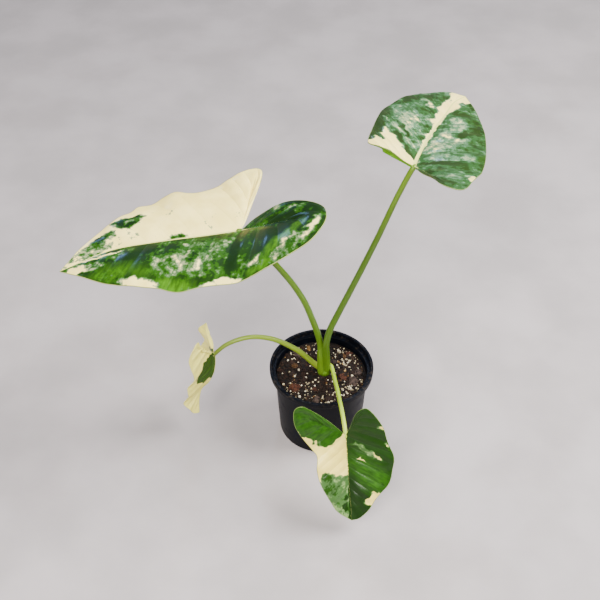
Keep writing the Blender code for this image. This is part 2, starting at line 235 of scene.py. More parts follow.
pot = place_mesh("nursery_pot", spun(rounded(POT_SECTION), POT_SIDES), polypropylene)
drills = []
for index in range(DRAIN_COUNT):
    angle = 2 * math.pi * (index + 0.5) / DRAIN_COUNT
    bm = bmesh.new()
    bmesh.ops.create_cone(
        bm,
        cap_ends=True,
        segments=DRILL_SIDES,
        radius1=DRAIN_RADIUS,
        radius2=DRAIN_RADIUS,
        depth=DRILL_LENGTH,
        matrix=Matrix.Translation(
            (DRAIN_CIRCLE * math.cos(angle), DRAIN_CIRCLE * math.sin(angle), DRILL_CENTRE)
        ),
    )
    drill = place_mesh(f"drill_{index}", bm)
    hole = pot.modifiers.new("Drain", "BOOLEAN")
    hole.operation = "DIFFERENCE"
    hole.solver = "EXACT"
    hole.object = drill
    drills.append(drill)
settle(pot)
for drill in drills:
    bpy.data.objects.remove(drill, do_unlink=True)
pot.data.shade_smooth()
pot.data.set_sharp_from_angle(angle=POT_SHARP)
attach(pot, "root")
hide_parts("pot")


# The potting mix. Peat and bark fines, damp and nearly black, with bark chips,
# perlite and tan fibre lying loose on top, filled to 14 mm under the rim.
SOIL_TOP = 84 * MM
SOIL_RADIUS = 51.9 * MM
SOIL_RINGS = 60
SOIL_SIDES = 144
SOIL_FOOT = [(47.6, 5.6), (44.4, 2.4), (0, 2.4)]
SOIL_LEVEL_EDGE = 0.4 * MM
CROWN_CENTRE = Vector((3, -2.5, 0)) * MM
# The mix is heaped up round the crown: this high, level this far out, then falling away.
HEAP_HEIGHT = 5.0 * MM
HEAP_LEVEL = 7
HEAP_FALL = 5
# Its top is rough at three sizes: the noise's scale, its height in mm, and its layer.
SOIL_ROUGHNESS = ((150, 1.5, 0), (520, 0.9, 0.01), (1300, 0.4, 0.02))
# Loose pieces keep clear of the wall and of the crown, and some kinds lie in patches.
WALL_CLEARANCE = 2.2 * MM
HEAP_CLEARANCE = 2 * MM
CROWN_CLEARANCE = 7.5 * MM
PATCH_SCALE = 45
PATCH_CONTRAST = 1.6
PATCH_SHARE = 0.42
LUMP_WIDTH = (0.6, 1.0)
LUMP_LEAN = 0.4
LUMP_SINK = (0.2, 0.6)
LUMP_SQUARENESS = 0.75
LUMP_KNOBS = 1.7
LUMP_SEED_REACH = 40
LUMP_SHARP = math.radians(32)


def soil_height(x, y):
    """How high the mix stands at a place, with its heap and its roughness."""
    from_crown = (Vector((x, y)) - CROWN_CENTRE.xy).length / MM
    height = SOIL_TOP + HEAP_HEIGHT * math.exp(-max(0.0, from_crown - HEAP_LEVEL) / HEAP_FALL)
    for scale, roughness, layer in SOIL_ROUGHNESS:
        height += noise.noise(Vector((x, y, layer)) * scale) * roughness * MM
    return height


def scattered(count, clear, rng, patch_layer=None):
    """Seeded places over the mix, clear of the crown, and in patches where a layer is given."""
    spots = []
    while len(spots) < count:
        distance = (SOIL_RADIUS - WALL_CLEARANCE) * math.sqrt(rng.random())
        angle = rng.uniform(0, 2 * math.pi)
        x, y = distance * math.cos(angle), distance * math.sin(angle)
        chance = rng.random()
        if patch_layer:
            thickness = noise.noise(Vector((x, y, patch_layer)) * PATCH_SCALE) * PATCH_CONTRAST
            if thickness + PATCH_SHARE < chance:
                continue
        if (Vector((x, y)) - CROWN_CENTRE.xy).length > CROWN_CLEARANCE + clear:
            spots.append((x, y))
    return spots


def strew(name, spots, material, rng, flat, knobbly, sizes=None, faces=1):
    """One mesh of loose lumps, each of them a knobbly closed shape with its own tint."""
    bm = bmesh.new()
    tint = bm.verts.layers.float.new("tint")
    for x, y, *own_size in spots:
        size = (own_size or [rng.uniform(*sizes)])[0] * MM
        shape = Vector((size, size * rng.uniform(*LUMP_WIDTH), size * rng.uniform(*flat)))
        turn = Matrix.Rotation(rng.uniform(0, math.pi), 4, "Z")
        lean = Matrix.Rotation(rng.uniform(-LUMP_LEAN, LUMP_LEAN), 4, rng.choice("XY"))
        sink = shape.z * rng.uniform(*LUMP_SINK)
        place = Matrix.Translation((x, y, soil_height(x, y) + sink))
        lump = bmesh.ops.create_icosphere(bm, subdivisions=faces, radius=1)["verts"]
        seed = Vector((rng.random(), rng.random(), rng.random())) * LUMP_SEED_REACH
        shade = rng.random()
        for vert in lump:
            squared = Vector([math.copysign(abs(c) ** LUMP_SQUARENESS, c) for c in vert.co])
            vert.co = squared * (1 + knobbly * noise.noise(vert.co * LUMP_KNOBS + seed))
            vert[tint] = shade
        bmesh.ops.transform(bm, verts=lump, matrix=place @ turn @ lean @ Matrix.Diagonal(shape.to_4d()))
    piece = place_mesh(name, bm, material)
    piece.data.shade_smooth()
    piece.data.set_sharp_from_angle(angle=LUMP_SHARP)
    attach(piece, "root")
    return piece


def lump_material(name, colours, grain_size, grain_depth, roughness):
    """A finish whose colour runs through a few colours from lump to lump, with a rough grain in mm,
    darkened in its pits by painted shade.
    """
    material, tree, shader = new_material(name, Roughness=roughness, Specular_IOR_Level=0.2)
    tint = add(tree, "Attribute", out="Fac", attribute_name="tint")
    ramp = add(tree, "ValToRGB", {0: tint})
    stops = ramp.node.color_ramp.elements
    for index, colour in enumerate(colours):
        at = index / (len(colours) - 1)
        stop = stops.new(at) if 0 < at < 1 else stops[-int(at)]
        stop.color = linear(colour)
    where = add(tree, "TexCoord", out="Object")
    grain = add(tree, "TexNoise", {"Vector": where, "Scale": 1 / (grain_size * MM), "Detail": 5.0})
    # Painted shade: the pits of the grain, the low places of its bump, are darkened.
    pit_shade = add(tree, "MapRange", {"Value": grain, "From Min": 0.62, "From Max": 0.3}, **SMOOTH)
    pit_shaded = add(tree, "Mix", {0: pit_shade, 6: ramp, 7: linear("#0a0604")}, **BLEND)
    tree.links.new(pit_shaded, shader.inputs["Base Color"])
    bump = add(tree, "Bump", {"Height": grain, "Strength": 0.6, "Distance": grain_depth * MM})
    tree.links.new(bump, shader.inputs["Normal"])
    return material


# Damp peat and bark fines, milled: almost black, with brown crumbs that catch the light.
peat, tree, shader = new_material("damp_peat_and_bark_fines", Roughness=0.82, Specular_IOR_Level=0.2)
where = add(tree, "TexCoord", out="Object")
crumb = add(tree, "TexNoise", {"Vector": where, "Scale": 1 / (2.2 * MM), "Detail": 6.0})
lit = add(tree, "MapRange", {"Value": crumb, "From Min": 0.48, "From Max": 0.7}, **SMOOTH)
peat_colour = add(tree, "Mix", {0: lit, 6: linear("#080503"), 7: linear("#26150c")}, **BLEND)
tree.links.new(peat_colour, shader.inputs["Base Color"])
bump = add(tree, "Bump", {"Height": crumb, "Strength": 0.9, "Distance": 1.2 * MM})
tree.links.new(bump, shader.inputs["Normal"])

top = [(SOIL_RADIUS / MM * ring / SOIL_RINGS, SOIL_TOP / MM) for ring in range(SOIL_RINGS + 1)]
bm = spun([Vector(point) for point in top + SOIL_FOOT], SOIL_SIDES)
for vert in bm.verts:
    on_top = vert.co.z > SOIL_TOP - 1 * MM
    if on_top and vert.co.xy.length < SOIL_RADIUS - SOIL_LEVEL_EDGE:
        vert.co.z = soil_height(vert.co.x, vert.co.y)
mix = place_mesh("potting_mix", bm, peat)
mix.data.shade_smooth()
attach(mix, "root")
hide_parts("soil")

# Pine bark, shredded and composted: rough dark brown chips, some nearly black with damp.
bark = lump_material("pine_bark_chips", ["#0a0604", "#170d08", "#29160c", "#241a15"], 1.8, 0.6, 0.78)
# Pine bark broken along its inner side: a warm reddish brown.
red_bark = lump_material("reddish_pine_bark", ["#34180c", "#4c2713"], 1.6, 0.6, 0.78)
# Pine bark from the outside of the trunk: weathered to a dull grey brown.
grey_bark = lump_material("weathered_pine_bark", ["#2c211d", "#463832"], 2.0, 0.5, 0.8)
# Expanded perlite, a glass puffed up by heat: off-white grains, some of them stained by the mix.
perlite = lump_material("expanded_perlite", ["#8c8066", "#cbbd98", "#f4ead0"], 0.7, 0.3, 0.85)
# Bits of dry inner bark and coir, chopped: tan, and paler than all but the perlite.
fibre = lump_material("tan_bark_and_coir_bits", ["#2f1c0e", "#6b4a26", "#a5844f"], 0.9, 0.3, 0.8)
# Bark crumbs, what is left of the shredding: as dark as the peat, so that they roughen it.
crumbs = lump_material("dark_bark_crumbs", ["#0a0604", "#150c08", "#2c1a10", "#20130c"], 1.2, 0.4, 0.8)

# Chips and grains placed one by one, as x, y and size in mm, and heaps of grains, as x, y,
# their number and how far they spread.
RED_CHIPS = [(-31.7, -23.9, 6.2), (24.9, -6.9, 4.2), (33.2, 31.4, 4.0), (-8, -24, 3.4)]
GREY_CHIPS = [(-6.7, -42.5, 6.4), (-26, 29.8, 5.6), (12.8, 18.4, 4.6), (36.4, -13.2, 5.2), (43, 1.2, 4.4)]
TAN_CHIPS = [(-30.7, 12, 4.0), (-14.1, 40, 3.8), (-31.8, -2.2, 2.9), (27, 27, 3.2)]
PERLITE_HEAPS = [(28, 20, 56, 8), (27, 37, 10, 4), (-38, -25, 18, 5), (-4, -36, 24, 9), (36, -20, 12, 8)]
PERLITE_GRAINS = [
    (-39, 20.4, 1.5), (-30.3, -3, 2.3), (-16.2, -0.4, 1.5), (-17.7, -6.9, 1.3), (-44, -17, 1.9),
    (-25.4, -35.5, 1.8), (-30, -36.8, 1.5), (-16.2, -17.3, 1.2), (5.6, -28.4, 1.2), (12.4, -33.6, 1.5),
    (25, -33.6, 1.2), (7.6, -44.6, 1.7), (22.6, 34, 2.2), (42.5, 7.4, 1.5), (35.7, -4.3, 1.6),
    (-26.4, 6.1, 1.5), (-12.8, 11.3, 1.3), (-37, 2.2, 1.3), (-44.8, 0.9, 1.3), (46, -14, 1.4),
]


def placed(pieces):
    """Pieces listed one by one, with their places in metres."""
    return [(x * MM, y * MM, size) for x, y, size in pieces]


rng = random.Random(11)
chips = scattered(46, 3.5 * MM, rng)
strew("bark_chips", chips, bark, rng, flat=(0.28, 0.5), knobbly=0.75, sizes=(1.8, 4.2), faces=3)
strew("red_bark_chips", placed(RED_CHIPS), red_bark, rng, flat=(0.35, 0.5), knobbly=0.7, faces=3)
strew("grey_bark_chips", placed(GREY_CHIPS), grey_bark, rng, flat=(0.25, 0.4), knobbly=0.6, faces=3)
strew("tan_bark_chips", placed(TAN_CHIPS), fibre, rng, flat=(0.4, 0.6), knobbly=0.6, faces=3)
fines = scattered(1300, -0.3 * MM, rng)
strew("bark_crumbs", fines, crumbs, rng, flat=(0.5, 0.9), knobbly=0.7, sizes=(0.5, 1.7))
grains = scattered(260, 1.0 * MM, rng, patch_layer=0.3)
for x, y, count, reach in PERLITE_HEAPS:
    grains += [(rng.gauss(x, reach) * MM, rng.gauss(y, reach) * MM) for grain in range(count)]
grains = [grain for grain in grains if math.hypot(*grain) < SOIL_RADIUS - HEAP_CLEARANCE]
grains += placed(PERLITE_GRAINS)
strew("perlite", grains, perlite, rng, flat=(0.6, 1.0), knobbly=0.6, sizes=(0.35, 1.3))
bits = scattered(80, 1.0 * MM, rng, patch_layer=0.7)
strew("tan_bits", bits, fibre, rng, flat=(0.4, 0.8), knobbly=0.5, sizes=(0.6, 1.7))


# The four leaves. Each blade grew as one piece from its midrib: a thin waxy
# sheet, patched cream where its cells lack green, quilted between the veins.
FRONT_ROWS = 130
LOBE_ROWS = 56
COLUMNS = 54
CURVE_STEPS = 10
BLADE_WELD = 0.02 * MM
# A place along the margin is 0 at the leaf's tip, 1 at the shoulder, 1.4 at the lobe's
# tip, and 1.8 where the notch is back at the stalk.
LOBE_TIP = 1.4
LOBE_SPAN = 0.4
NOTCH_END = 1.8
RIDGE_REACH = 0.66
BLADE_THICKNESS = 0.8
RIB_THICKNESS = 2.6
# The relief of a blade, in mm where it is a length: its arch, its waved margin, its
# veins, counted from tip to shoulder, and the quilting, creases and ridges they make.
ARCH_FULL_WIDTH = 70
WAVE_SPEED = 17
SWEEP = 0.12
VEINS_PER_ROW_SPAN = 8
QUILT_HEIGHT = 1.4
QUILT_ROUNDNESS = 0.6
QUILT_FULL_WIDTH = 20
CREASE_HEIGHT = 1.1
VEIN_RIDGE = 0.3
VEIN_RIDGE_WIDTH = 0.1
KEEL_REACH = 1.3
# The rib's half width at the tip and what it gains by the shoulder, in mm. In a lobe it
# is narrower, and its pale line fades away from the shoulder and from the stalk.
RIB_TIP_WIDTH = 0.5
RIB_GAIN = 1.4
LOBE_RIB_SHARE = 0.4
RIB_LINE_FADE = 14
RIB_LINE_LEAST = 0.02
# The edges of the marks wander: the size and reach of that in mm, and its stretch.
MARK_WANDER = ((9, 3.2), (3.5, 1.5))
WANDER_ALONG = 1.6
DRIFT_OFFSET = Vector((31.4, 17.2, 5.8))
PLAIN_LIME = 0.1
# The tones at which one layer of cells gives way to the next, and how softly.
CELL_LEVELS = (0.30, 0.50, 0.66, 0.84)
CELL_EDGE = 0.045
# Each leaf is in mm from the top of its stalk, X to its tip, Y to its left and Z up, and
# its attachment and stalk are in mm in the plant's own frame. Angles are in degrees. A
# mark is an ellipse: its tone, how lime it is, its centre, half length, half width, turn,
# and soft edge's width. Tones are those of the left and the right half where there is no
# mark, and back is how far the underside is washed over, and with what.
LEAVES = {
    "large": {
        "attachment": (-84, -14, 310),
        "heading": 191,
        "pitch": 0,
        "rib": [(36, -1, -2), (81, -4, -5), (130, -8, -12), (182, 0, -24)],
        "left": {
            "front": [
                (148, 27, -18), (119, 46, -14), (91, 57, -11), (69, 68, -9), (45, 71, -6), (14, 75, 1),
            ],
            "lobe": [(-20, 76, 17), (-51, 72, 32), (-70, 58, 41), (-78, 42, 44)],
            "notch": [(-75, 26, 42), (-56, 7, 34), (-38, -3, 24), (-17, -6, 10)],
        },
        "right": {
            "front": [
                (151, -30, -14), (125, -50, -9), (107, -58, -8), (98, -66, -7), (84, -70, -8),
                (71, -78, -6), (58, -80, -4), (46, -72, -2), (33, -68, 1), (14, -72, 5),
            ],
            "lobe": [(-8, -76, 12), (-23, -77, 18), (-31, -74, 20)],
            "notch": [(-33, -64, 21), (-27, -46, 17), (-15, -25, 8), (-6, -9, 2)],
        },
        "stalk": [
            (0.2, -4.2, 83), (-0.9, -4.2, 97), (-1.4, -2.8, 115), (-1.6, 0.2, 131), (-4.5, -1.1, 149),
            (-11, -3.8, 175), (-20, -6.4, 205), (-32, -8.6, 232), (-46.5, -10.4, 257),
            (-67, -12.6, 288),
        ],
        "stalk_radius": (3.9, 2.9),
        "rib_line": 0.55,
        "arch": 5,
        "wave": 1.6,
        "tones": (0.25, 1.2),
        "marbling": 1.0,
        "vein": 0.16,
        "rim": "#8f9a50",
        "lime": "#467a0a",
        "marks": [
            (0.0, 0, 102, -43, 8, 5, 12, 6), (0.0, 0, 116, -41, 10, 6, -12, 6),
            (0.0, 0, 108, -35, 9, 3.5, 0, 5), (0.9, 0, 109, -39, 4, 1.2, 25, 4),
            (0.05, 0, 138, -25, 14, 7, 20, 5), (0.6, 0, 153, -12, 27, 9, 14, 6),
            (0.84, 0, 120, -15, 24, 5, 8, 6), (0.3, 0, 65, -5, 8, 3, 0, 5),
            (0.02, 0, 100, 10, 50, 8, 4, 10), (0.5, 0, 44, 20, 30, 13, -4, 16),
            (0.16, 0.5, 122, 28, 28, 10, -20, 10), (0.26, 1, 75, 60, 20, 8, -18, 5),
            (0.02, 0, 120, 40, 9, 5, 60, 5), (0.58, 0, 63, 36, 32, 15, -25, 14),
            (1.15, 0, 106, 48, 20, 6, -28, 4), (1.1, 0, 32, 71, 21, 3.6, -4, 2),
            (-0.1, 0, 14, 42, 27, 5, 74, 3), (0.68, 0, -7, 59, 14, 4, 0, 3),
            (-0.05, 0, -44, 32, 40, 24, 38, 10), (0.24, 0.9, -32, 52, 24, 7, 30, 6),
            (0.66, 0, -28, 62, 26, 5, 30, 7), (0.28, 1, -7, 71, 13, 5, 0, 3),
            (0.62, 0, -50, 61, 25, 4, 33, 6), (0.95, 0, -67, 47, 10, 3, 42, 4),
            (0.62, 0, -52, 13, 18, 4, -38, 6), (0.7, 0, 150, 10, 12, 5, 0, 5),
            (1.15, 0, 170, 8, 13, 6, 0, 3), (1.1, 0, 150, -3, 34, 1.6, -4, 1),
        ],
        "back": (0.3, "#8a9a55"),
        "greens": ("#0e2506", "#224a07", "#4c6a40", "#8f9870", "#ffec92"),
    },
    "upper": {
        "attachment": (89, 31, 356),
        "heading": 66,
        "pitch": 0,
        "rib": [(21, 2, 0), (63, 3, -1), (106, 2, -4), (139, 2, -7), (165, -4, -12)],
        "left": {
            "front": [
                (162, 14, -10), (151, 33, -8), (135, 46, -5), (114, 56, -2), (88, 62, 3), (60, 60, 9),
                (36, 57, 14),
            ],
            "lobe": [(14, 52, 18), (-6, 48, 23), (-16, 43, 27)],
            "notch": [(-20, 33, 28), (-19, 20, 24), (-11, 8, 12)],
        },
        "right": {
            "front": [(137, -26, -12), (106, -42, -10), (74, -54, -6), (38, -63, 0), (10, -67, 7)],
            "lobe": [(-16, -66, 13), (-37, -65, 19), (-50, -61, 25)],
            "notch": [(-53, -50, 26), (-49, -40, 24), (-34, -27, 16), (-15, -11, 6)],
        },
        "stalk": [
            (5.6, -2.4, 83), (6.0, -2.6, 101), (5.2, -3.0, 121), (4.8, -3.6, 139), (8.5, -1.2, 157),
            (16.5, 2.8, 176.5), (35.6, 10.3, 222), (55.3, 17.9, 271), (72.8, 25.1, 318),
            (84, 29.4, 345),
        ],
        "stalk_radius": (4.0, 2.8),
        "rib_line": 1.15,
        "arch": 5,
        "wave": 1.4,
        "tones": (0.42, 0.34),
        "marbling": 0.78,
        "vein": 0.45,
        "rim": "#6f8440",
        "lime": "#2c5a10",
        "marks": [
            (0.05, 0, 56, 58, 34, 7, 8, 6), (0.2, 0, 128, 38, 26, 8, -40, 8),
            (0.62, 0, 82, 38, 18, 11, 60, 8), (0.62, 0, 52, 26, 28, 8, 52, 6),
            (0.08, 0, 64, 15, 13, 5, 60, 4), (0.6, 0, 68, 26, 20, 9, 48, 8),
            (0.64, 0, 96, -13, 12, 6, -60, 6), (0.66, 0, 50, -18, 44, 15, -8, 12),
            (0.6, 0, 24, -32, 20, 10, -60, 8), (0.15, 0, 117, -15, 13, 4, -60, 3),
            (0.15, 0, 84, -34, 24, 7, -28, 6), (0.2, 0.6, 36, -61, 15, 4, -8, 5),
            (0.12, 0, 6, -22, 24, 4.5, -72, 4), (0.52, 0, -14, -44, 22, 11, -70, 8),
            # The mark of tone -0.3 on the next line is painted shade: a dark line along the right lobe's
            # notch margin, standing in for its shadowed underside.
            (1.05, 0, -16, -64, 9, 4, 0, 2), (-0.3, 0, -32, -27, 25, 1.8, 42, 1),
            (0.12, 0, 46, 28, 14, 2.5, 43, 2), (1.4, 0, -5, 27, 25, 15, 90, 2),
            (1.4, 0, 19, 33, 25, 7, 47, 2), (1.4, 0, 5, 12, 14, 6, 50, 2),
            (0.0, 0, 15, 51.5, 27, 8, 0, 2), (0.08, 0, 27, 25, 24, 2.6, 48, 2),
            (1.15, 0, 60, 3, 30, 2.6, 0, 1.5), (0.66, 0, 66, 26, 30, 0.9, 58, 0.8),
            (0.64, 0, 44, 36, 30, 0.9, 58, 0.8), (1.15, 0, 98, 5, 17, 4.6, 0, 3),
            (1.15, 0, 135, 3, 30, 8, -4, 3), (1.15, 0, 158, -3, 14, 13, 0, 3),
            (0.85, 0, 117, 25, 14, 3, 50, 3),
        ],
        "back": (1.0, "#56880c"),
        "greens": ("#1f330e", "#2c5028", "#4f7353", "#8b9a74", "#fcea92"),
    },
    "side": {
        "attachment": (-122, -13, 130),
        "heading": 186,
        "pitch": 78,
        "rib": [(9, 0, -2), (26, 1, -3), (43, 0, 0), (57, -1, 6), (76, -1, 6), (99, 0, 2)],
        "left": {
            "front": [(93, 7, 9), (77, 14, 20), (58, 20, 24), (41, 25, 24), (14, 30, 23)],
            "lobe": [(-8, 35, 25), (-30, 36, 32), (-41, 31, 30)],
            "notch": [(-42, 25, 25), (-30, 18, 20), (-13, 9, 11)],
        },
        "right": {
            "front": [(88, -16, 6), (78, -24, 6), (60, -35, 4), (34, -38, 6), (15, -38, 9)],
            "lobe": [(-3, -35, 14), (-21, -28, 13)],
            "notch": [(-20, -22, 9), (-14, -14, 3), (-7, -6, 1)],
        },
        "stalk": [
            (1.6, 1.4, 84), (-1.0, 2.4, 90.4), (-4.2, 2.3, 94.2), (-9, 1.6, 100.3), (-24.8, -0.4, 121),
            (-36.1, -1.8, 132), (-47.2, -3.3, 141), (-60, -4.9, 148), (-76, -6.9, 152),
            (-92, -9, 150.2), (-108, -11, 142.8),
        ],
        "stalk_radius": (3.4, 2.2),
        "rib_line": 0.3,
        "arch": -2,
        "wave": 2.2,
        "tones": (1.25, 1.25),
        "marbling": 0.5,
        "vein": 0.1,
        "rim": "#d6cf78",
        "lime": "#2c5c08",
        "marks": [(-0.1, 0.55, 14, 4, 20, 19, 10, 3)],
        "back": (0.03, "#d8d080"),
        "greens": ("#0f2c02", "#1e4206", "#6b7a44", "#b4b264", "#f2ea80"),
    },
    "front": {
        "attachment": (24, -109, 106),
        "heading": 275,
        "pitch": 60,
        "rib": [(18, 1, -2), (53, 2, -3), (82, 3, -1), (98, 3, 2)],
        "left": {
            "front": [
                (96, 12, 2), (85, 23, 4), (69, 33, 6), (54, 45, 8), (38, 49, 8), (24, 50, 8),
                (8, 44, 10),
            ],
            "lobe": [(-10, 39, 14), (-26, 30, 18), (-36, 20, 21)],
            "notch": [(-31, 11, 16), (-20, 7, 8), (-9, 4, 3)],
        },
        "right": {
            "front": [(85, -13, 4), (68, -22, 6), (50, -30, 8), (34, -33, 8), (20, -32, 6), (12, -37, 6)],
            "lobe": [(-2, -46, 10), (-21, -55, 16), (-38, -55, 20)],
            "notch": [(-43, -47, 22), (-38, -38, 19), (-24, -22, 10), (-10, -9, 3)],
        },
        "stalk": [
            (4.4, 0.0, 85), (6.0, 0.9, 93), (8.6, 1.6, 96.4), (11.2, 0.2, 97), (12.6, -6, 97.2),
            (14, -16, 98.2), (15.2, -28, 100.8), (17, -44, 105.2), (18.7, -62, 109.2),
            (20.7, -80, 111.4), (22.7, -97, 109.8),
        ],
        "stalk_radius": (2.5, 2.3),
        "rib_line": 0.03,
        "arch": 4,
        "wave": 1.0,
        "tones": (0.0, 1.2),
        "marbling": 0.45,
        "vein": 0.1,
        "rim": "#6d8440",
        "lime": "#2f6404",
        "marks": [
            (0.08, 0.5, -27, -30, 38, 27, 48, 2), (0.64, 0, 78, -14, 39, 30, 0, 2),
            (0.5, 0, 54, -22, 15, 9, 10, 4), (0.0, 0, 76, 17, 46, 16.6, 0, 0.6),
            (-0.3, 0, 72, -3, 3, 2, 0, 1), (-0.3, 0, 83, -4, 5, 2.5, 0, 1),
            (0.22, 0.7, 45, 24, 26, 14, 40, 12), (0.6, 0, 18, 20, 20, 3.4, 65, 2),
            (1.1, 0, 23, 33, 6, 2.4, 60, 1.5), (1.0, 0, 28, 16, 6, 1.2, 55, 1),
            (1.2, 0, 73, 28, 12, 6, -45, 2), (0.85, 0, -9, 35, 5, 2, 60, 2),
            (0.9, 0, 11, 43, 6, 2, 30, 2),
        ],
        "back": (0.25, "#8a9a55"),
        "greens": ("#112c02", "#1c3e03", "#3f6030", "#6f8b52", "#f2de78"),
    },
}


def smooth_path(points):
    """A Catmull-Rom curve through the points, as a close row of points."""
    points = [Vector(point) for point in points]
    ends = [2 * points[0] - points[1], *points, 2 * points[-1] - points[-2]]
    path = []
    for before, first, second, after in zip(ends, ends[1:], ends[2:], ends[3:]):
        for step in range(CURVE_STEPS):
            t = step / CURVE_STEPS
            path.append(
                first
                + (second - before) * (t / 2)
                + (before - first * 2.5 + second * 2 - after / 2) * t**2
                + ((first - second) * 1.5 + (after - before) / 2) * t**3
            )
    path.append(points[-1])
    return path


def path_point(path, share):
    """The point at a share of a path's length."""
    spans = [(second - first).length for first, second in zip(path, path[1:])]
    left = max(0.0, min(1.0, share)) * sum(spans)
    for first, second, span in zip(path, path[1:], spans):
        if left <= span:
            return first.lerp(second, left / span)
        left -= span
    return path[-1].copy()


def leaf_frame(leaf):
    """The frame at the top of a stalk: X to the leaf's tip, Y left, Z up."""
    heading = Matrix.Rotation(math.radians(leaf["heading"]), 4, "Z")
    pitch = Matrix.Rotation(math.radians(leaf["pitch"]), 4, "Y")
    return Matrix.Translation(Vector(leaf["attachment"]) * MM) @ heading @ pitch


def blade_rows(leaf, side):
    """For each row of one half: its place along the margin, its rib point and its margin point."""
    half = leaf[side]
    path = smooth_path([leaf["rib"][-1], *half["front"], *half["lobe"], *half["notch"], (0, 0, 0)])
    shoulder = CURVE_STEPS * len(half["front"])
    lobe_tip = shoulder + CURVE_STEPS * len(half["lobe"])
    rib = smooth_path([(0, 0, 0), *leaf["rib"]])[::-1]
    ridge_end = path[lobe_tip] * RIDGE_REACH
    rows = []
    for row in range(FRONT_ROWS):
        share = row / FRONT_ROWS
        rows.append((share, path_point(rib, share), path_point(path[: shoulder + 1], share)))
    for row in range(LOBE_ROWS):
        share = row / LOBE_ROWS
        edge = path_point(path[shoulder : lobe_tip + 1], share)
        rows.append((1 + LOBE_SPAN * share, ridge_end * share, edge))
    for row in range(LOBE_ROWS + 1):
        share = row / LOBE_ROWS
        edge = path_point(path[lobe_tip:], share)
        rows.append((LOBE_TIP + LOBE_SPAN * share, ridge_end * (1 - share), edge))
    return rows


def blade_height(leaf, place, across, width):
    """The arch, wave, quilting and creases of a half in mm, fading out towards its edges."""
    taper = min(1.0, 3 * place) * min(1.0, 4 * (NOTCH_END - place))
    arch = leaf["arch"] * 4 * across * (1 - across) * width / ARCH_FULL_WIDTH
    wave = leaf["wave"] * across**2 * math.sin(place * WAVE_SPEED)
    veins = (place + SWEEP * across) * VEINS_PER_ROW_SPAN
    off_vein = abs(veins - round(veins)) * 2
    quilt = QUILT_HEIGHT * (off_vein**QUILT_ROUNDNESS - 0.5)
    quilt = quilt * min(1.0, 5 * across) * min(1.0, 6 * (1 - across))
    quilt *= min(1.0, width / QUILT_FULL_WIDTH)
    crease = noise.noise(Vector((veins * 1.3, across * 3, leaf["heading"]))) * CREASE_HEIGHT * across
    return (arch + wave + quilt + crease) * taper


def mark_tone(leaf, x, y, side):
    """How pale the blade is at a point, from 0 for dark green to 1 for cream, and how lime."""
    tone = leaf["tones"][0 if side == "left" else 1]
    lime = PLAIN_LIME
    for size, reach in MARK_WANDER:
        here = Vector((x, y, leaf["heading"])) / size
        x += noise.noise(here) * reach * WANDER_ALONG
        y += noise.noise(here + DRIFT_OFFSET) * reach
    for new_tone, new_lime, centre_x, centre_y, length, width, turn, soft in leaf["marks"]:
        angle = math.radians(turn)
        along = (x - centre_x) * math.cos(angle) + (y - centre_y) * math.sin(angle)
        aside = (y - centre_y) * math.cos(angle) - (x - centre_x) * math.sin(angle)
        inside = (1 - math.hypot(along / length, aside / width)) * min(length, width)
        share = max(0.0, min(1.0, 0.5 + inside / soft))
        tone += (new_tone - tone) * share
        lime += (new_lime - lime) * share
    return tone, lime


